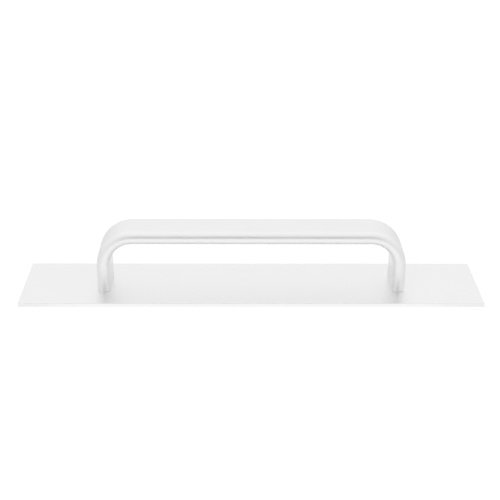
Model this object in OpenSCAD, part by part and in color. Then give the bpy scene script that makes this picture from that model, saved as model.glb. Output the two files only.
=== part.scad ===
// Flat rectangular plate carrying a bridge handle bent from flat-oval bar.
// The handle stands on the plate on two plain feet, and countersunk machine screws
// come up through the plate into tapped holes in the feet.
// Units are millimetres. Origin: middle of the plate's underside, X along the plate,
// Z up through the handle, -Y towards the front long edge.

/* [Plate] */
// Length of the plate
plate_l = 350; // [330:5:400]
// Width of the plate
plate_w = 75; // [60:1:90]
// Thickness of the plate
plate_t = 3; // [3:0.5:5]
// Size of the broken edge all round the plate
plate_arris = 0.3; // [0.1:0.1:0.5]

/* [Handle] */
// Distance between the middles of the two feet
handle_cc = 225; // [150:5:260]
// Height of the handle's top face above the plate
handle_h = 48; // [40:1:60]
// Width of the flat-oval bar, across the plate
bar_w = 35; // [32:1:40]
// Thickness of the flat-oval bar
bar_t = 10; // [9:0.5:12]
// Radius of each bend, at the middle of the bar
bend_r = 22; // [18:1:28]
// Size of the broken edge round each foot
foot_break = 0.4; // [0.2:0.1:0.6]

/* [Screws] */
// Thread diameter of the foot screws
screw_d = 5; // [4:0.5:5]
// Overall length of a countersunk screw
screw_l = 12; // [10:1:14]
// Distance between the two screws of one foot
screw_gap = 18; // [14:1:18]
// Across-flats size of the screw's hexagon socket
key_af = 3; // [2.5:0.5:3]
// Depth of the hexagon socket
key_depth = 1.9; // [1.2:0.1:1.9]

/* [Hidden] */
$fn = 96;

over = 1;                         // how far a cut runs past the face it opens
lap = 0.01;                       // overlap that joins two stacked cuts
foot_x = handle_cc / 2;           // X of each foot's middle
bar_z = plate_t + handle_h - bar_t / 2;   // Z of the grip's centreline
grip_l = handle_cc - 2 * bend_r;  // straight length of the grip
leg_l = handle_h - bar_t / 2 - bend_r;    // straight length of each leg
round_y = (bar_w - bar_t) / 2;    // Y of the centres of the bar's round edges

tap_clear = 0.03;                 // gap all round the screw in its tapped hole
tap_depth = screw_l - plate_t + 2;        // depth of the tapped hole
drill_point = screw_d * 0.3;      // height of the drill's point at the hole's end
hole_d = screw_d + 0.5;           // clearance hole in the plate
head_d = screw_d * 1.86;          // diameter of the countersunk head
head_land = 0.25;                 // plain rim of the head
head_sink = 0.05;                 // head sits this far below the plate's underside
seat_gap = 0.02;                  // gap between the head's cone and its seat
csk_d = head_d + 2 * (head_sink + head_land) + 2 * seat_gap;   // mouth of the seat
cone_h = (head_d - screw_d) / 2;  // height of the head's cone, 90 degrees included
tip_break = 0.5;                  // chamfer at the screw's tip
shank_l = screw_l - head_land - cone_h - tip_break;   // plain length of the shank

metal = [0.80, 0.81, 0.82];
steel = [0.62, 0.63, 0.65];

// ---- shared shapes ----

// rectangle with its four corners cut at 45 degrees
module cut_rect(a, b, c) {
    polygon([[-a / 2 + c, -b / 2], [a / 2 - c, -b / 2], [a / 2, -b / 2 + c],
        [a / 2, b / 2 - c], [a / 2 - c, b / 2], [-a / 2 + c, b / 2],
        [-a / 2, b / 2 - c], [-a / 2, -b / 2 + c]]);
}

// the bar's section: thickness along X, width along Y, both edges full round
module flat_oval() {
    union() {
        square([bar_t, 2 * round_y], center = true);
        translate([0, round_y]) circle(d = bar_t);
        translate([0, -round_y]) circle(d = bar_t);
    }
}

// regular hexagon, s across the flats
module hexagon(s) {
    polygon([for (i = [0:5]) s / sqrt(3) * [cos(60 * i), sin(60 * i)]]);
}

// the broken edge at the end of a foot, widest side up
module foot_end() {
    b = foot_break;
    union() {
        for (s = [-1, 1])
            translate([0, s * round_y, 0])
                cylinder(h = b, r1 = bar_t / 2 - b, r2 = bar_t / 2);
        translate([0, round_y, 0])
            rotate([90, 0, 0])
                linear_extrude(height = 2 * round_y)
                    polygon([[-bar_t / 2 + b, 0], [bar_t / 2 - b, 0], [bar_t / 2, b],
                        [-bar_t / 2, b]]);
    }
}

// half of the handle: one leg, one bend
module handle_side() {
    translate([foot_x, 0, plate_t]) foot_end();
    translate([foot_x, 0, plate_t + foot_break])
        linear_extrude(height = leg_l - foot_break) flat_oval();
    translate([foot_x - bend_r, 0, plate_t + leg_l])
        rotate([90, 0, 0])
            rotate_extrude(angle = 90)
                translate([bend_r, 0]) flat_oval();
}

// tapped hole with its drill point, opening downwards at z = 0
module tapped_hole() {
    r = screw_d / 2 + tap_clear;
    translate([0, 0, -over]) cylinder(h = tap_depth + over, r = r);
    translate([0, 0, tap_depth - lap]) cylinder(h = drill_point, r1 = r, r2 = 0);
}

// countersunk clearance hole, its mouth at the underside
module screw_seat() {
    translate([0, 0, -over]) cylinder(h = plate_t + 2 * over, d = hole_d);
    translate([0, 0, -over])
        cylinder(h = over + (csk_d - hole_d) / 2, d1 = csk_d + 2 * over, d2 = hole_d);
}

// one countersunk screw, head down, standing along +Z
module foot_screw() {
    color(steel)
    difference() {
        translate([0, 0, head_sink]) union() {
            cylinder(h = head_land, d = head_d);
            translate([0, 0, head_land])
                cylinder(h = cone_h, d1 = head_d, d2 = screw_d);
            translate([0, 0, head_land + cone_h])
                cylinder(h = shank_l, d = screw_d);
            translate([0, 0, screw_l - tip_break])
                cylinder(h = tip_break, d1 = screw_d, d2 = screw_d - 2 * tip_break);
        }
        translate([0, 0, -over]) linear_extrude(height = over + head_sink + key_depth)
            hexagon(key_af);
    }
}

// ---- the pieces ----

module plate() {
    color(metal)
    difference() {
        intersection() {
            translate([-plate_l / 2, 0, plate_t / 2])
                rotate([90, 0, 90]) linear_extrude(height = plate_l)
                    cut_rect(plate_w, plate_t, plate_arris);
            translate([0, plate_w / 2, plate_t / 2])
                rotate([90, 0, 0]) linear_extrude(height = plate_w)
                    cut_rect(plate_l, plate_t, plate_arris);
            linear_extrude(height = plate_t)
                cut_rect(plate_l, plate_w, plate_arris);
        }
        for (x = [-foot_x, foot_x], y = [-screw_gap / 2, screw_gap / 2])
            translate([x, y, 0]) screw_seat();
    }
}

module bridge_handle() {
    color(metal)
    difference() {
        union() {
            handle_side();
            mirror([1, 0, 0]) handle_side();
            translate([-grip_l / 2, 0, bar_z])
                rotate([0, 90, 0]) linear_extrude(height = grip_l) flat_oval();
        }
        for (x = [-foot_x, foot_x], y = [-screw_gap / 2, screw_gap / 2])
            translate([x, y, plate_t]) tapped_hole();
    }
}

module screw_left_front() {
    translate([-foot_x, -screw_gap / 2, 0]) foot_screw();
}

module screw_left_back() {
    translate([-foot_x, screw_gap / 2, 0]) foot_screw();
}

module screw_right_front() {
    translate([foot_x, -screw_gap / 2, 0]) foot_screw();
}

module screw_right_back() {
    translate([foot_x, screw_gap / 2, 0]) foot_screw();
}

plate();
bridge_handle();
screw_left_front();
screw_left_back();
screw_right_front();
screw_right_back();
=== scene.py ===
import math

import bmesh
import bpy
from mathutils import Matrix, Vector


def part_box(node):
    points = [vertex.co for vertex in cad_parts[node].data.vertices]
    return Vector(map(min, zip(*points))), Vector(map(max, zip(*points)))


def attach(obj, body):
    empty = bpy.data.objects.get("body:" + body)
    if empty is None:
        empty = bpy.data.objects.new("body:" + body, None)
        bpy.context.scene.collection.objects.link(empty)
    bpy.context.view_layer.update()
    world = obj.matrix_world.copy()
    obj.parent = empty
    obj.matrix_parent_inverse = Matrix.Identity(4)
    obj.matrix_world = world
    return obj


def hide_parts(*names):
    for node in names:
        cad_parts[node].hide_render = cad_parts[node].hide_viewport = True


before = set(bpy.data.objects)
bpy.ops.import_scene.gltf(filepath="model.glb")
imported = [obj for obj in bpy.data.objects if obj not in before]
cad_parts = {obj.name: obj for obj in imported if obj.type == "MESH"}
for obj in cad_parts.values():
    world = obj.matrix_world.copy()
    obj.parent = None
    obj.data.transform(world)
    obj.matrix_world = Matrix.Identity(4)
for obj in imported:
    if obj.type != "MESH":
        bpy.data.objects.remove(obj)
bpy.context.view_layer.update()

# A flat plate with a bridge handle bent from flat-oval bar, both in satin anodised
# aluminium, held together by four countersunk socket screws from below.
# Metres throughout, in the frame of the CAD: X along the plate, Y towards its back edge,
# Z up through the handle.

# ---- sizes that the boxes of the CAD nodes don't give ----
BEND_RADIUS = 0.022        # of the bar's middle line, at both bends
PLATE_ARRIS = 0.0003       # broken edge of the plate
FOOT_ARRIS = 0.0004        # broken edge of the handle's feet
CLEARANCE_RADIUS = 0.00275     # hole in the plate round the shank
SEAT_GAP = 0.00002             # room between a screw head and its countersink
TAPPED_RADIUS = 0.00253        # hole in the foot
TAPPED_DEPTH = 0.011
DRILL_POINT = 0.0015           # cone at the bottom of that hole
THREAD_RADIUS = 0.0025         # over the crests
ROOT_RADIUS = 0.00201          # at the bottom of the thread
THREAD_PITCH = 0.0008
THREAD_LEAD_IN = 1.5           # pitches wound below the thread, and cut off again
TIP_BREAK = 0.0005             # height of the chamfer at the end of the thread
TIP_RADIUS = ROOT_RADIUS - TIP_BREAK / 4
HEAD_RIM = 0.00025             # plain rim of the screw head
HEAD_ARRIS = 0.00008           # broken edge of that rim
SOCKET_FLATS = 0.003           # hexagon socket, across its flats
SOCKET_SIDES = 6
SOCKET_DEPTH = 0.0019
SOCKET_LEAD = 0.0002           # round chamfer at the mouth of the socket
SOCKET_POINT = 0.0004          # drill cone at the bottom of the socket
ROUND_STEPS = 32           # facets round half of the bar's edge
BEND_STEPS = 40            # facets along each bend
HOLE_STEPS = 72            # facets round a hole, a head or a turn of thread
HOLE_MARGIN = 0.002        # flat kept round a countersink in the mesh
TAP_MARGIN = 0.001         # and round a tapped hole
ARRIS_STEPS = 4            # facets across a broken edge
SHARP_ANGLE = math.radians(38)     # edges sharper than this aren't shaded smooth
SAME_PLACE = 1e-6          # points closer than this are one point
CUT_TOLERANCE = 1e-7

# ---- finishes ----
SATIN_LOW = (0.93, 0.93, 0.93)         # anodised aluminium, darkest and lightest
SATIN_HIGH = (0.96, 0.96, 0.96)
SATIN_GRAIN = 2600.0           # lines of the drawn grain to a metre
SATIN_GRAIN_STRETCH = 0.012    # the grain's width over its length
SATIN_PIT_SIZE = 0.00014
SATIN_PATCH_SIZE = 0.045       # of the cloudy sheen
SATIN_MARKS = 70.0             # hair marks to a metre
SATIN_MARK_TURN = 0.5          # their slant to the grain, in radians
SATIN_RUB_WIDTH = 0.00045      # of a rubbed edge
SATIN_RUB_POLISH = 0.16        # how much smoother a rubbed edge is
SATIN_DEPTH = 0.0000012        # of grain, pits and marks
SATIN_ROUGHNESS_SPREAD = 0.14  # from grain, sheen and pits together
PLATE_ROUGHNESS = 0.35
PLATE_EDGE_TONE = 0.95         # of light that glances off
HANDLE_ROUGHNESS = 0.43
HANDLE_EDGE_TONE = 0.92
STEEL_LOW = (0.58, 0.57, 0.55)         # stainless steel, darkest and lightest
STEEL_HIGH = (0.68, 0.67, 0.65)
STEEL_RINGS = 9000.0           # turning marks to a metre
STEEL_PATCH_SIZE = 0.004
STEEL_RUB_WIDTH = 0.00025
STEEL_DEPTH = 0.0000025        # of the turning marks
STEEL_ROUGHNESS = 0.22
STEEL_EDGE_TONE = 0.9
BAR_RUN = "bar_run"            # attribute with a point's place along the bar

# ---- effects that the finishes share ----
NOISE_LOW = 0.3                # noise lies mostly between these two
NOISE_HIGH = 0.7
COARSE_LINES = 0.22            # to one fine line of the grain
PIT_BLEND = 0.8                # how far pits run into each other
PIT_CLUSTERS = 0.7             # to one pit
PIT_LOW = 0.2                  # the pits' depth lies mostly between these two
PIT_HIGH = 0.65
RUB_PATCHES = 180.0            # to a metre of edge
RUB_NARROWEST = 0.6            # times the width given
RUB_WIDEST = 1.4
HAIR_STRETCH = 0.12            # a mark's width over its length
HAIR_SWERVES = 25.0            # to a metre
HAIR_SWERVE_REACH = 0.012
HAIR_FINENESS = 0.008          # a mark's width over the room between marks
HAIR_PLACES = 42.0             # to a metre
HAIR_PLACE_LOW = 0.56          # marks begin to show over this much noise
HAIR_PLACE_HIGH = 0.66

# ---- studio ----
FLOOR_HALF = 6                 # half the side of the table
FLOOR_DROP = 0.0002            # the table lies this far under the object
FLOOR_ALBEDO = 0.1
FLOOR_GLOW = 1.06              # of the brightest part of the table
FLOOR_FADE_REACH = 0.25        # the tones run from this far in front to as far behind
FLOOR_TONES = ((0.5, 0.94), (0.7, 1.0), (1.0, 0.9))
FLOOR_SIDE_START = 0.13        # the table fades from here to there on both sides
FLOOR_SIDE_END = 0.3
FLOOR_SIDE_TONE = 0.72
FLOOR_SEEN = 1.1               # plain white to the camera
TENT_BEHIND = ((0.0, 0.98), (0.2, 0.89), (0.65, 0.97))     # sine of the height, tone
TENT_FRONT = ((0.0, 0.85), (0.4, 0.9))
TENT_JOIN = 0.4                # half the width of the change from front to behind
TENT_SIDE_START = 0.3          # the tent fades from here to there on both sides
TENT_SIDE_END = 0.95
TENT_SIDE_TONE = 0.93
CARD_DISTANCE = 0.85           # of the lens card from the point the camera looks at
CARD_HALF_ACROSS = math.radians(22)
CARD_HALF_UP = math.radians(11)
CARD_TONE = 0.17

# ---- camera ----
CAMERA_UP = math.radians(23.08)      # looking down on the object
CAMERA_TURN = math.radians(0.69)     # round towards its left end
CAMERA_ROLL = math.radians(0.32)
CAMERA_LENS = 87.8             # in millimetres, as is the sensor
CAMERA_SENSOR = 36
CAMERA_DISTANCE = 0.9365
AIM_SIDE = -0.001              # of the point it looks at, from the middle
AIM_HEIGHT = 0.0276            # of that point over the plate
BOUNCES = 16                   # light goes back and forth between tent and metal

SCREWS = ["screw_left_front", "screw_left_back", "screw_right_front", "screw_right_back"]

PLATE_LOW, PLATE_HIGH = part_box("plate")
HANDLE_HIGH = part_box("bridge_handle")[1]
SCREW_BOXES = {name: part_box(name) for name in SCREWS}
PLATE_TOP = PLATE_HIGH.z
PLATE_UNDER = PLATE_LOW.z

UP = Vector((0, 0, 1))
RIGHT = Vector((1, 0, 0))
ACROSS = Vector((0, 1, 0))


def middle(box):
    """Centre of a (low corner, high corner) box."""
    return (box[0] + box[1]) / 2


SCREW_AXES = {name: middle(box) for name, box in SCREW_BOXES.items()}
FOOT_X = SCREW_AXES["screw_right_front"].x
SCREW_Y = abs(SCREW_AXES["screw_right_front"].y)
BAR_THICK = 2 * (HANDLE_HIGH.x - FOOT_X)
BEND_X = FOOT_X - BEND_RADIUS
BEND_Z = HANDLE_HIGH.z - BAR_THICK / 2 - BEND_RADIUS
SCREW_HEAD_RADIUS = SCREW_BOXES["screw_right_front"][1].x - FOOT_X
CAMERA_AIM = Vector((AIM_SIDE, 0, PLATE_TOP + AIM_HEIGHT))


# ---- modelling helpers ----

def finish_piece(bm, name, material, cad_node):
    """Turns a bmesh into a shaded piece that stands for a CAD node."""
    bmesh.ops.remove_doubles(bm, verts=bm.verts, dist=SAME_PLACE)
    bmesh.ops.recalc_face_normals(bm, faces=bm.faces)
    mesh = bpy.data.meshes.new(name)
    bm.to_mesh(mesh)
    bm.free()
    mesh.shade_smooth()
    mesh.set_sharp_from_angle(angle=SHARP_ANGLE)
    mesh.materials.append(material)
    piece = bpy.data.objects.new(name, mesh)
    bpy.context.scene.collection.objects.link(piece)
    even = piece.modifiers.new("even_shading", "WEIGHTED_NORMAL")
    even.keep_sharp = True
    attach(piece, "root")
    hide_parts(cad_node)
    return piece


def ring(bm, centre, radius, z, steps=HOLE_STEPS):
    """Edges of a level circle."""
    place = Matrix.Translation((centre.x, centre.y, z))
    made = bmesh.ops.create_circle(bm, segments=steps, radius=radius, matrix=place)
    return list({edge for vert in made["verts"] for edge in vert.link_edges})


def join_rings(bm, rings):
    """Walls between neighbouring rings of a list, at different heights."""
    for first, second in zip(rings, rings[1:]):
        bmesh.ops.bridge_loops(bm, edges=first + second)


def fill_level(bm, outer, inner):
    """Flat face between an outline and a ring inside it, at one height."""
    bmesh.ops.triangle_fill(bm, edges=outer + inner, use_beauty=True)


def close_to_point(bm, edges, tip):
    """Cone from a ring of edges to a point."""
    made = bmesh.ops.extrude_edge_only(bm, edges=edges)
    verts = [item for item in made["geom"] if isinstance(item, bmesh.types.BMVert)]
    bmesh.ops.pointmerge(bm, verts=verts, merge_co=tip)


def level_face(bm, centre, z):
    """The level face at a height that lies over or under a centre."""
    point = Vector((centre.x, centre.y, z))
    for face in bm.faces:
        at_height = abs(face.calc_center_median().z - z) < SAME_PLACE
        level = abs(face.normal.z) > 1 - SAME_PLACE
        if at_height and level and bmesh.geometry.intersect_face_point(face, point):
            return face
    raise ValueError("no level face there")


def open_square(bm, centre, z, half):
    """Cuts a square out of a level face and returns its rim."""
    for normal in (RIGHT, -RIGHT, ACROSS, -ACROSS):
        face = level_face(bm, centre, z)
        around = [face] + list(face.edges) + list(face.verts)
        bmesh.ops.bisect_plane(bm, geom=around, plane_co=centre + half * normal,
                               plane_no=normal, dist=CUT_TOLERANCE)
        bm.normal_update()
    face = level_face(bm, centre, z)
    rim = list(face.edges)
    bmesh.ops.delete(bm, geom=[face], context="FACES_ONLY")
    return rim


def split_evenly(bm, edges):
    """Splits the sides of a polygon so that it has as many edges as a ring."""
    made = bmesh.ops.subdivide_edges(bm, edges=edges, cuts=HOLE_STEPS // len(edges) - 1)
    return list({item for item in made["geom_split"] if isinstance(item, bmesh.types.BMEdge)}
                | {edge for edge in edges if edge.is_valid})


def cut_off(bm, z, keep):
    """Cuts a shape square at a height and keeps the side that a vector points to."""
    everything = list(bm.verts) + list(bm.edges) + list(bm.faces)
    bmesh.ops.bisect_plane(bm, geom=everything, plane_co=z * UP, plane_no=keep,
                           dist=CUT_TOLERANCE, clear_inner=True)


def break_edges(bm, edges, offset):
    """Rounds edges over."""
    bmesh.ops.bevel(bm, geom=edges, offset=offset, segments=ARRIS_STEPS, profile=0.5,
                    affect="EDGES", material=-1)


def step_from(bm, vert, move):
    """Draws a straight edge from a point and returns its far end."""
    made = bmesh.ops.extrude_vert_indiv(bm, verts=[vert])
    bmesh.ops.translate(bm, verts=made["verts"], vec=move)
    return made["verts"][0]


# ---- the plate ----

def make_plate(material):
    """Flat blank with broken edges and four countersunk clearance holes."""
    size = PLATE_HIGH - PLATE_LOW
    bm = bmesh.new()
    place = Matrix.Translation(middle((PLATE_LOW, PLATE_HIGH))) @ Matrix.Diagonal((*size, 1))
    bmesh.ops.create_cube(bm, size=1, matrix=place)
    break_edges(bm, list(bm.edges), PLATE_ARRIS)
    bm.normal_update()
    for name, axis in SCREW_AXES.items():
        low, high = SCREW_BOXES[name]
        mouth = (high.x - low.x) / 2 + HEAD_RIM + low.z - PLATE_UNDER + SEAT_GAP
        seat_top = PLATE_UNDER + mouth - CLEARANCE_RADIUS
        under_rim = open_square(bm, axis, PLATE_UNDER, mouth + HOLE_MARGIN)
        top_rim = open_square(bm, axis, PLATE_TOP, CLEARANCE_RADIUS + HOLE_MARGIN)
        under_ring = ring(bm, axis, mouth, PLATE_UNDER)
        top_ring = ring(bm, axis, CLEARANCE_RADIUS, PLATE_TOP)
        join_rings(bm, [under_ring, ring(bm, axis, CLEARANCE_RADIUS, seat_top), top_ring])
        fill_level(bm, under_rim, under_ring)
        fill_level(bm, top_rim, top_ring)
    return finish_piece(bm, "flat_plate", material, "plate")


# ---- the handle ----

def half_round(bm, vert, centre):
    """Spins a point half a turn about an upright axis and returns where it ends."""
    made = bmesh.ops.spin(bm, geom=[vert], cent=centre, axis=UP, angle=math.pi,
                          steps=ROUND_STEPS, use_merge=False)
    return next(item for item in made["geom_last"] if isinstance(item, bmesh.types.BMVert))


def bar_outline(bm, x, z):
    """Closed flat-oval outline of the bar, lying level, both edges full round."""
    half = BAR_THICK / 2
    flat = HANDLE_HIGH.y - half
    start = bm.verts.new((x + half, flat, z))
    back_end = half_round(bm, start, Vector((x, flat, z)))
    front_start = step_from(bm, back_end, -2 * flat * ACROSS)
    front_end = half_round(bm, front_start, Vector((x, -flat, z)))
    bm.edges.new((front_end, start))
    return list(bm.edges)


def draw_out(bm, outline, move):
    """Extrudes the outline along a straight stretch."""
    made = bmesh.ops.extrude_edge_only(bm, edges=outline)
    verts = [item for item in made["geom"] if isinstance(item, bmesh.types.BMVert)]
    bmesh.ops.translate(bm, verts=verts, vec=move)
    return [item for item in made["geom"] if isinstance(item, bmesh.types.BMEdge)
            and all(vert in verts for vert in item.verts)]


def bend(bm, outline, centre):
    """Turns the outline a quarter turn about an axis across the bar."""
    ends = list({vert for edge in outline for vert in edge.verts})
    made = bmesh.ops.spin(bm, geom=ends + outline, cent=centre, axis=ACROSS,
                          angle=math.pi / 2, steps=BEND_STEPS, use_merge=False)
    return [item for item in made["geom_last"] if isinstance(item, bmesh.types.BMEdge)]


def close_foot(bm, outline):
    """Caps a foot and breaks the edge round it."""
    cap = bmesh.ops.contextual_create(bm, geom=outline)["faces"][0]
    break_edges(bm, list(cap.edges), FOOT_ARRIS)


def tap_hole(bm, axis):
    """Sinks a blind hole with a drilled point into the foot above a screw."""
    rim = open_square(bm, axis, PLATE_TOP, TAPPED_RADIUS + TAP_MARGIN)
    bottom_z = PLATE_TOP + TAPPED_DEPTH
    mouth = ring(bm, axis, TAPPED_RADIUS, PLATE_TOP)
    bottom = ring(bm, axis, TAPPED_RADIUS, bottom_z)
    fill_level(bm, rim, mouth)
    join_rings(bm, [mouth, bottom])
    close_to_point(bm, bottom, Vector((axis.x, axis.y, bottom_z + DRILL_POINT)))


def bar_run(point):
    """Place in the bar: along its middle line from the left foot, across, and outwards."""
    corner = Vector((math.copysign(BEND_X, point.x), BEND_Z))
    out = Vector((point.x, point.z)) - corner
    leg = BEND_Z - PLATE_TOP
    quarter = BEND_RADIUS * math.pi / 2
    if point.z <= BEND_Z:
        run = point.z - PLATE_TOP
        proud = abs(point.x) - FOOT_X
    elif abs(point.x) <= BEND_X:
        run = leg + quarter + BEND_X - abs(point.x)
        proud = point.z - BEND_Z - BEND_RADIUS
    else:
        run = leg + BEND_RADIUS * math.atan2(out.y, abs(out.x))
        proud = out.length - BEND_RADIUS
    half_way = leg + quarter + BEND_X
    along = run if point.x < 0 else 2 * half_way - run
    return Vector((along, point.y, proud))


def make_handle(material):
    """Flat-oval bar: up from the left foot, along the grip, down to the right foot."""
    leg = BEND_Z - PLATE_TOP
    bm = bmesh.new()
    left_foot = bar_outline(bm, -FOOT_X, PLATE_TOP)
    outline = draw_out(bm, left_foot, leg * UP)
    outline = bend(bm, outline, Vector((-BEND_X, 0, BEND_Z)))
    outline = draw_out(bm, outline, 2 * BEND_X * RIGHT)
    outline = bend(bm, outline, Vector((BEND_X, 0, BEND_Z)))
    right_foot = draw_out(bm, outline, -leg * UP)
    close_foot(bm, left_foot)
    close_foot(bm, right_foot)
    bm.normal_update()
    for axis in SCREW_AXES.values():
        tap_hole(bm, axis)
    place = bm.verts.layers.float_vector.new(BAR_RUN)
    for vert in bm.verts:
        vert[place] = bar_run(vert.co)
    return finish_piece(bm, "bent_handle", material, "bridge_handle")


# ---- the screws ----

def thread_profile(bm, z):
    """One pitch of thread in outline: half root, flank, crest, flank, half root."""
    depth = THREAD_RADIUS - ROOT_RADIUS
    vert = bm.verts.new((ROOT_RADIUS, 0, z))
    for out, rise in ((0, 1 / 8), (1, 5 / 16), (0, 1 / 8), (-1, 5 / 16), (0, 1 / 8)):
        vert = step_from(bm, vert, Vector((out * depth, 0, rise * THREAD_PITCH)))
    return list(bm.verts) + list(bm.edges)


def make_thread(bm, low, high):
    """Thread wound upwards, cut square at both heights; returns the two cut edges."""
    turns = math.ceil((high - low) / THREAD_PITCH + THREAD_LEAD_IN)
    profile = thread_profile(bm, low - THREAD_LEAD_IN * THREAD_PITCH)
    bmesh.ops.spin(bm, geom=profile, cent=Vector(), axis=UP, angle=2 * math.pi * turns,
                   dvec=UP * THREAD_PITCH / HOLE_STEPS, steps=HOLE_STEPS * turns,
                   use_merge=False)
    bmesh.ops.remove_doubles(bm, verts=bm.verts, dist=SAME_PLACE)
    cut_off(bm, low, UP)
    cut_off(bm, high, -UP)
    return [[edge for edge in bm.edges if edge.is_boundary
             and all(abs(vert.co.z - z) < SAME_PLACE for vert in edge.verts)] for z in (low, high)]


def make_screw(name, material):
    """Countersunk screw standing on its head, with a hexagon socket and a real thread."""
    low, high = SCREW_BOXES[name]
    axis = SCREW_AXES[name]
    head = (high.x - low.x) / 2
    face = low.z
    cone_top = face + HEAD_RIM + head - THREAD_RADIUS
    bm = bmesh.new()
    thread_start, thread_end = make_thread(bm, cone_top + TIP_BREAK, high.z - TIP_BREAK)
    centre = Vector()
    hexagon = SOCKET_FLATS / math.sqrt(3)
    neck = ring(bm, centre, ROOT_RADIUS, cone_top + THREAD_RADIUS - ROOT_RADIUS)
    mouth = ring(bm, centre, hexagon + SOCKET_LEAD / 2, face)
    face_ring = ring(bm, centre, head - HEAD_ARRIS, face)
    join_rings(bm, [
        thread_start,
        neck,
        ring(bm, centre, head, face + HEAD_RIM),
        ring(bm, centre, head, face + HEAD_ARRIS),
        face_ring,
    ])
    fill_level(bm, face_ring, mouth)
    socket_top = split_evenly(bm, ring(bm, centre, hexagon, face + SOCKET_LEAD, SOCKET_SIDES))
    socket_bottom = split_evenly(bm, ring(bm, centre, hexagon, face + SOCKET_DEPTH, SOCKET_SIDES))
    join_rings(bm, [mouth, socket_top, socket_bottom])
    close_to_point(bm, socket_bottom, (face + SOCKET_DEPTH + SOCKET_POINT) * UP)
    tip = ring(bm, centre, TIP_RADIUS, high.z)
    join_rings(bm, [thread_end, tip])
    bmesh.ops.contextual_create(bm, geom=tip)
    bmesh.ops.translate(bm, verts=bm.verts, vec=(axis.x, axis.y, 0))
    return finish_piece(bm, name.replace("screw", "socket_screw"), material, name)


# ---- node helpers ----

NUMBER = "NodeSocketFloat"
VECTOR = "NodeSocketVector"
MIX_COLOUR_SOCKETS = (0, 6, 7)     # of a Mix node's factor and its two colours
MIX_COLOUR_RESULT = 2


def add_node(tree, kind, **settings):
    """New node of a kind, with its properties set by name."""
    made = tree.nodes.new(kind)
    for name, value in settings.items():
        setattr(made, name, value)
    return made


def feed(tree, target, source):
    """Links an output to an input, or sets the input to a plain value."""
    if isinstance(source, bpy.types.NodeSocket):
        tree.links.new(source, target)
    else:
        target.default_value = source


def maths(tree, operation, *values):
    """Math node on sockets or numbers; returns its result."""
    made = add_node(tree, "ShaderNodeMath", operation=operation)
    for socket, value in zip(made.inputs, values):
        feed(tree, socket, value)
    return made.outputs["Value"]


def vector_maths(tree, operation, *values):
    """Vector Math node on sockets or vectors; returns its vector."""
    made = add_node(tree, "ShaderNodeVectorMath", operation=operation)
    for socket, value in zip(made.inputs, values):
        feed(tree, socket, value)
    return made.outputs["Vector"]


def blend_colours(tree, mask, low, high):
    """Colour that runs from one to another with a mask."""
    made = add_node(tree, "ShaderNodeMix", data_type="RGBA")
    factor, first, second = (made.inputs[place] for place in MIX_COLOUR_SOCKETS)
    feed(tree, factor, mask)
    feed(tree, first, low)
    feed(tree, second, high)
    return made.outputs[MIX_COLOUR_RESULT]


def spread(tree, value, low, high, to_low, to_high):
    """Carries a value from one range to another, and stops at its ends."""
    made = add_node(tree, "ShaderNodeMapRange")
    for name, given in (("Value", value), ("From Min", low), ("From Max", high),
                        ("To Min", to_low), ("To Max", to_high)):
        feed(tree, made.inputs[name], given)
    return made.outputs["Result"]


def full_range(tree, value):
    """Carries noise from the range it mostly keeps to, to the whole of 0 to 1."""
    return spread(tree, value, NOISE_LOW, NOISE_HIGH, 0.0, 1.0)


def noise(tree, vector, scale, detail):
    """Noise over a vector; returns its value."""
    made = add_node(tree, "ShaderNodeTexNoise")
    feed(tree, made.inputs["Vector"], vector)
    feed(tree, made.inputs["Scale"], scale)
    feed(tree, made.inputs["Detail"], detail)
    return made.outputs["Fac"]


def weigh(tree, *pairs):
    """Sum of values, each times its own weight."""
    total = None
    for value, weight in pairs:
        part = maths(tree, "MULTIPLY", value, weight)
        total = part if total is None else maths(tree, "ADD", total, part)
    return total


def new_group(name, inputs, outputs):
    """Empty shader node group with float or vector sockets, and its two end nodes."""
    tree = bpy.data.node_groups.new(name, "ShaderNodeTree")
    for socket, (kind, value) in inputs.items():
        made = tree.interface.new_socket(socket, in_out="INPUT", socket_type=kind)
        if value is not None:
            made.default_value = value
    for socket in outputs:
        tree.interface.new_socket(socket, in_out="OUTPUT", socket_type=NUMBER)
    return tree, add_node(tree, "NodeGroupInput").outputs, add_node(tree, "NodeGroupOutput").inputs


def use_group(tree, group, **values):
    """Places a group in a material with its own values; returns its outputs."""
    made = add_node(tree, "ShaderNodeGroup", node_tree=group)
    for name, value in values.items():
        feed(tree, made.inputs[name.replace("_", " ")], value)
    return made.outputs


# ---- node groups of the effects ----

def drawn_lines_group():
    """Fine lines that rolling, drawing or turning leaves in metal, from 0 to 1."""
    tree, given, result = new_group(
        "drawn_lines",
        {"Vector": (VECTOR, None), "Lines per Metre": (NUMBER, 2500.0), "Stretch": (NUMBER, 0.01)},
        ["Lines"])
    run = add_node(tree, "ShaderNodeCombineXYZ")
    feed(tree, run.inputs["X"], given["Stretch"])
    feed(tree, run.inputs["Y"], 1.0)
    feed(tree, run.inputs["Z"], 1.0)
    along = vector_maths(tree, "MULTIPLY", given["Vector"], run.outputs["Vector"])
    fine = noise(tree, along, given["Lines per Metre"], detail=3.0)
    broader = maths(tree, "MULTIPLY", given["Lines per Metre"], COARSE_LINES)
    coarse = noise(tree, along, broader, detail=2.0)
    both = weigh(tree, (fine, 0.65), (coarse, 0.35))
    feed(tree, result["Lines"], full_range(tree, both))
    return tree


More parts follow.
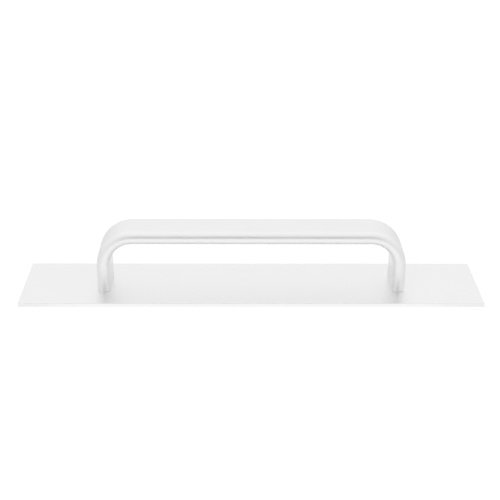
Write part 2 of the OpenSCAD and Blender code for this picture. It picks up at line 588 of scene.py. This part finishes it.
def etched_skin_group():
    """Matt skin of tiny shallow pits, as etching leaves it, from 0 to 1."""
    tree, given, result = new_group(
        "etched_skin", {"Vector": (VECTOR, None), "Pit Size": (NUMBER, 0.00012)}, ["Pits"])
    scale = maths(tree, "DIVIDE", 1.0, given["Pit Size"])
    pits = add_node(tree, "ShaderNodeTexVoronoi", feature="SMOOTH_F1")
    feed(tree, pits.inputs["Vector"], given["Vector"])
    feed(tree, pits.inputs["Scale"], scale)
    feed(tree, pits.inputs["Smoothness"], PIT_BLEND)
    clusters = maths(tree, "MULTIPLY", scale, PIT_CLUSTERS)
    rough = noise(tree, given["Vector"], clusters, detail=4.0)
    both = weigh(tree, (pits.outputs["Distance"], 0.5), (rough, 0.5))
    feed(tree, result["Pits"], spread(tree, both, PIT_LOW, PIT_HIGH, 0.0, 1.0))
    return tree


def slow_drift_group():
    """Cloudy patches, a hand or so across, where a finish took unevenly, from 0 to 1."""
    tree, given, result = new_group(
        "slow_drift", {"Vector": (VECTOR, None), "Patch Size": (NUMBER, 0.05)}, ["Drift"])
    scale = maths(tree, "DIVIDE", 1.0, given["Patch Size"])
    patches = noise(tree, given["Vector"], scale, detail=2.0)
    feed(tree, result["Drift"], full_range(tree, patches))
    return tree


def edge_rub_group():
    """Where an edge is rubbed smooth: 1 on the edge, broken up, and 0 further in."""
    tree, given, result = new_group(
        "edge_rub",
        {"Vector": (VECTOR, None), "Distance In": (NUMBER, 1.0), "Width": (NUMBER, 0.0005)},
        ["Rub"])
    patches = noise(tree, given["Vector"], RUB_PATCHES, detail=4.0)
    uneven = spread(tree, patches, NOISE_LOW, NOISE_HIGH, RUB_NARROWEST, RUB_WIDEST)
    reach = maths(tree, "MULTIPLY", given["Width"], uneven)
    feed(tree, result["Rub"], spread(tree, given["Distance In"], reach, 0.0, 0.0, 1.0))
    return tree


def hair_marks_group():
    """Sparse hair-fine marks of handling, from 0 to 1."""
    tree, given, result = new_group(
        "hair_marks",
        {"Vector": (VECTOR, None), "Marks per Metre": (NUMBER, 60.0), "Turn": (NUMBER, 0.6)},
        ["Marks"])
    turned = add_node(tree, "ShaderNodeVectorRotate", rotation_type="Z_AXIS")
    feed(tree, turned.inputs["Vector"], given["Vector"])
    feed(tree, turned.inputs["Angle"], given["Turn"])
    thin = vector_maths(tree, "MULTIPLY", turned.outputs["Vector"], (HAIR_STRETCH, 1.0, 1.0))
    wavy = add_node(tree, "ShaderNodeTexNoise")
    feed(tree, wavy.inputs["Vector"], given["Vector"])
    feed(tree, wavy.inputs["Scale"], HAIR_SWERVES)
    sideways = (0.0, HAIR_SWERVE_REACH, 0.0)
    swerve = vector_maths(tree, "MULTIPLY", wavy.outputs["Color"], sideways)
    cells = add_node(tree, "ShaderNodeTexVoronoi", feature="DISTANCE_TO_EDGE")
    feed(tree, cells.inputs["Vector"], vector_maths(tree, "ADD", thin, swerve))
    feed(tree, cells.inputs["Scale"], given["Marks per Metre"])
    hair = spread(tree, cells.outputs["Distance"], 0.0, HAIR_FINENESS, 1.0, 0.0)
    places = noise(tree, given["Vector"], HAIR_PLACES, detail=1.0)
    few = spread(tree, places, HAIR_PLACE_LOW, HAIR_PLACE_HIGH, 0.0, 1.0)
    feed(tree, result["Marks"], maths(tree, "MULTIPLY", hair, few))
    return tree


DRAWN_LINES = drawn_lines_group()
ETCHED_SKIN = etched_skin_group()
SLOW_DRIFT = slow_drift_group()
EDGE_RUB = edge_rub_group()
HAIR_MARKS = hair_marks_group()


# ---- finishes ----

def metal(name, edge_tone):
    """Metallic material; returns it with its tree and shader."""
    material = bpy.data.materials.new(name)
    material.use_nodes = True
    tree = material.node_tree
    shader = tree.nodes["Principled BSDF"]
    shader.inputs["Metallic"].default_value = 1
    shader.inputs["Specular Tint"].default_value = (edge_tone, edge_tone, edge_tone, 1)
    return material, tree, shader


def two_tones(tree, shader, mask, low, high):
    """Base colour that runs from one tone to another with a mask."""
    feed(tree, shader.inputs["Base Color"], blend_colours(tree, mask, (*low, 1), (*high, 1)))


def rough_up(tree, shader, height, depth):
    """Bump of a real depth in metres."""
    bump = add_node(tree, "ShaderNodeBump")
    feed(tree, bump.inputs["Height"], height)
    bump.inputs["Distance"].default_value = depth
    feed(tree, shader.inputs["Normal"], bump.outputs["Normal"])


def satin_aluminium(name, grain, distance_in, place, roughness, edge_tone):
    """Etched and clear anodised aluminium: soft grain, cloudy sheen, rubbed edges."""
    material, tree, shader = metal(name, edge_tone)
    grain = grain(tree)
    place = place(tree)
    lines = use_group(tree, DRAWN_LINES, Vector=grain, Lines_per_Metre=SATIN_GRAIN,
                      Stretch=SATIN_GRAIN_STRETCH)["Lines"]
    pits = use_group(tree, ETCHED_SKIN, Vector=place, Pit_Size=SATIN_PIT_SIZE)["Pits"]
    drift = use_group(tree, SLOW_DRIFT, Vector=place, Patch_Size=SATIN_PATCH_SIZE)["Drift"]
    marks = use_group(tree, HAIR_MARKS, Vector=grain, Marks_per_Metre=SATIN_MARKS,
                      Turn=SATIN_MARK_TURN)["Marks"]
    rub = use_group(tree, EDGE_RUB, Vector=place, Distance_In=distance_in(tree, place),
                    Width=SATIN_RUB_WIDTH)["Rub"]
    two_tones(tree, shader, weigh(tree, (lines, 0.35), (drift, 0.35), (pits, 0.3)),
              SATIN_LOW, SATIN_HIGH)
    varied = weigh(tree, (lines, 0.05), (drift, 0.05), (pits, 0.04), (marks, -0.05),
                   (rub, -SATIN_RUB_POLISH))
    smoothest = roughness - SATIN_ROUGHNESS_SPREAD / 2
    feed(tree, shader.inputs["Roughness"], maths(tree, "ADD", smoothest, varied))
    rough_up(tree, shader, weigh(tree, (lines, 0.5), (pits, 0.5), (marks, -0.8)), SATIN_DEPTH)
    return material


def object_place(tree):
    """Object coordinates."""
    return add_node(tree, "ShaderNodeTexCoord").outputs["Object"]


def bar_place(tree):
    """Coordinates that follow the bar: along it, across it, and out from its middle."""
    return add_node(tree, "ShaderNodeAttribute", attribute_name=BAR_RUN).outputs["Vector"]


def axis_parts(tree, vector):
    """X, Y and Z of a vector."""
    split = add_node(tree, "ShaderNodeSeparateXYZ")
    feed(tree, split.inputs["Vector"], vector)
    return split.outputs["X"], split.outputs["Y"], split.outputs["Z"]


def in_from_plate_edge(tree, place):
    """Distance in from the nearest side of the plate."""
    x, y, _ = axis_parts(tree, vector_maths(tree, "ABSOLUTE", place))
    from_end = maths(tree, "SUBTRACT", PLATE_HIGH.x, x)
    from_side = maths(tree, "SUBTRACT", PLATE_HIGH.y, y)
    return maths(tree, "MINIMUM", from_end, from_side)


def up_from_foot(tree, place):
    """Distance up the leg from the face that stands on the plate."""
    _, _, z = axis_parts(tree, place)
    return maths(tree, "SUBTRACT", z, PLATE_TOP)


def screw_steel():
    """Stainless steel turned on a lathe: rings round each screw's own axis."""
    material, tree, shader = metal("turned_stainless", STEEL_EDGE_TONE)
    folded = vector_maths(tree, "ABSOLUTE", object_place(tree))
    from_axis = vector_maths(tree, "SUBTRACT", folded, (FOOT_X, SCREW_Y, 0))
    x, y, z = axis_parts(tree, from_axis)
    radius = maths(tree, "SQRT", maths(tree, "ADD", maths(tree, "MULTIPLY", x, x),
                                       maths(tree, "MULTIPLY", y, y)))
    turned = add_node(tree, "ShaderNodeCombineXYZ")
    feed(tree, turned.inputs["Y"], radius)
    feed(tree, turned.inputs["Z"], z)
    rings = use_group(tree, DRAWN_LINES, Vector=turned.outputs["Vector"],
                      Lines_per_Metre=STEEL_RINGS, Stretch=1.0)["Lines"]
    drift = use_group(tree, SLOW_DRIFT, Vector=from_axis, Patch_Size=STEEL_PATCH_SIZE)["Drift"]
    rim = maths(tree, "SUBTRACT", SCREW_HEAD_RADIUS, radius)
    rub = use_group(tree, EDGE_RUB, Vector=from_axis, Distance_In=rim,
                    Width=STEEL_RUB_WIDTH)["Rub"]
    two_tones(tree, shader, weigh(tree, (rings, 0.5), (drift, 0.5)), STEEL_LOW, STEEL_HIGH)
    varied = weigh(tree, (rings, 0.1), (drift, 0.1), (rub, -0.1))
    feed(tree, shader.inputs["Roughness"], maths(tree, "ADD", STEEL_ROUGHNESS, varied))
    rough_up(tree, shader, rings, STEEL_DEPTH)
    return material


# ---- the studio ----

def stage_piece(bm, name, material):
    """A thing of the studio, which isn't part of the object."""
    mesh = bpy.data.meshes.new(name)
    bm.to_mesh(mesh)
    bm.free()
    mesh.materials.append(material)
    thing = bpy.data.objects.new(name, mesh)
    bpy.context.scene.collection.objects.link(thing)
    return thing


def glowing_card(name, albedo):
    """Matt surface that also glows; returns the material, its tree and its shader."""
    material = bpy.data.materials.new(name)
    material.use_nodes = True
    tree = material.node_tree
    shader = tree.nodes["Principled BSDF"]
    shader.inputs["Base Color"].default_value = (albedo, albedo, albedo, 1)
    shader.inputs["Roughness"].default_value = 1
    shader.inputs["Specular IOR Level"].default_value = 0
    shader.inputs["Emission Color"].default_value = (1, 1, 1, 1)
    return material, tree, shader


def grey_ramp(tree, value, stops):
    """Colour ramp through (height, tone) stops."""
    ramp = add_node(tree, "ShaderNodeValToRGB")
    feed(tree, ramp.inputs["Fac"], value)
    elements = ramp.color_ramp.elements
    for _ in stops[2:]:
        elements.new(0.5)
    for element, (position, tone) in zip(elements, stops):
        element.position = position
        element.color = (tone, tone, tone, 1)
    return ramp.outputs["Color"]


def make_floor():
    """White table, lit through from below, that fades behind the object and at its ends."""
    material, tree, shader = glowing_card("white_table", FLOOR_ALBEDO)
    x, y, _ = axis_parts(tree, object_place(tree))
    depth = spread(tree, y, -FLOOR_FADE_REACH, FLOOR_FADE_REACH, 0.0, 1.0)
    sideways = spread(tree, maths(tree, "ABSOLUTE", x), FLOOR_SIDE_START, FLOOR_SIDE_END,
                      FLOOR_GLOW, FLOOR_GLOW * FLOOR_SIDE_TONE)
    glow = maths(tree, "MULTIPLY", sideways, grey_ramp(tree, depth, FLOOR_TONES))
    seen = spread(tree, add_node(tree, "ShaderNodeLightPath").outputs["Is Camera Ray"],
                  0.0, 1.0, glow, FLOOR_SEEN)
    feed(tree, shader.inputs["Emission Strength"], maths(tree, "SUBTRACT", seen, FLOOR_ALBEDO))
    bm = bmesh.new()
    bmesh.ops.create_grid(bm, x_segments=1, y_segments=1, size=FLOOR_HALF,
                          matrix=Matrix.Translation(-FLOOR_DROP * UP))
    stage_piece(bm, "studio_floor", material)


def make_tent():
    """White light tent: one run of tones from the horizon up behind, another in front."""
    world = bpy.data.worlds.new("white_tent")
    world.use_nodes = True
    tree = world.node_tree
    background = tree.nodes["Background"]
    where = add_node(tree, "ShaderNodeTexCoord").outputs["Generated"]
    x, y, z = axis_parts(tree, where)
    to_back = spread(tree, y, -TENT_JOIN, TENT_JOIN, 0.0, 1.0)
    tones = blend_colours(tree, to_back, grey_ramp(tree, z, TENT_FRONT),
                          grey_ramp(tree, z, TENT_BEHIND))
    side = spread(tree, maths(tree, "ABSOLUTE", x), TENT_SIDE_START, TENT_SIDE_END,
                  1.0, TENT_SIDE_TONE)
    feed(tree, background.inputs["Color"], tones)
    feed(tree, background.inputs["Strength"], side)
    bpy.context.scene.world = world


def make_lens_card(view):
    """Dark card round the lens: the one dark thing that the bright tent leaves."""
    material, _, shader = glowing_card("black_card", 0)
    shader.inputs["Emission Strength"].default_value = CARD_TONE
    half_width = math.tan(CARD_HALF_ACROSS) * CARD_DISTANCE
    half_height = math.tan(CARD_HALF_UP) * CARD_DISTANCE
    facing = view.to_track_quat("-Z", "Y").to_matrix().to_4x4()
    bm = bmesh.new()
    bmesh.ops.create_grid(bm, x_segments=1, y_segments=1, size=1)
    bmesh.ops.scale(bm, verts=bm.verts, vec=(half_width, half_height, 1))
    bmesh.ops.transform(bm, verts=bm.verts,
                        matrix=Matrix.Translation(CAMERA_AIM - view * CARD_DISTANCE) @ facing)
    card = stage_piece(bm, "lens_card", material)
    card.visible_camera = False
    card.visible_diffuse = False
    card.visible_shadow = False


def make_camera():
    """Camera a little above the object, looking almost square on; returns its view axis."""
    view = Vector((math.sin(CAMERA_TURN) * math.cos(CAMERA_UP),
                   math.cos(CAMERA_TURN) * math.cos(CAMERA_UP),
                   -math.sin(CAMERA_UP)))
    data = bpy.data.cameras.new("camera")
    data.lens = CAMERA_LENS
    data.sensor_width = CAMERA_SENSOR
    camera = bpy.data.objects.new("camera", data)
    level = view.to_track_quat("-Z", "Y").to_matrix()
    roll = Matrix.Rotation(-CAMERA_ROLL, 3, view)
    camera.matrix_world = (Matrix.Translation(CAMERA_AIM - view * CAMERA_DISTANCE)
                           @ (roll @ level).to_4x4())
    bpy.context.scene.collection.objects.link(camera)
    bpy.context.scene.camera = camera
    return view


# ---- the whole scene ----

plate_finish = satin_aluminium("satin_plate", object_place, in_from_plate_edge, object_place,
                               PLATE_ROUGHNESS, PLATE_EDGE_TONE)
handle_finish = satin_aluminium("satin_handle", bar_place, up_from_foot, object_place,
                                HANDLE_ROUGHNESS, HANDLE_EDGE_TONE)
steel = screw_steel()

make_plate(plate_finish)
make_handle(handle_finish)
for screw in SCREWS:
    make_screw(screw, steel)

view_axis = make_camera()
make_floor()
make_tent()
make_lens_card(view_axis)
bpy.context.scene.view_settings.view_transform = "Standard"
bpy.context.scene.cycles.max_bounces = BOUNCES
bpy.context.scene.cycles.glossy_bounces = BOUNCES
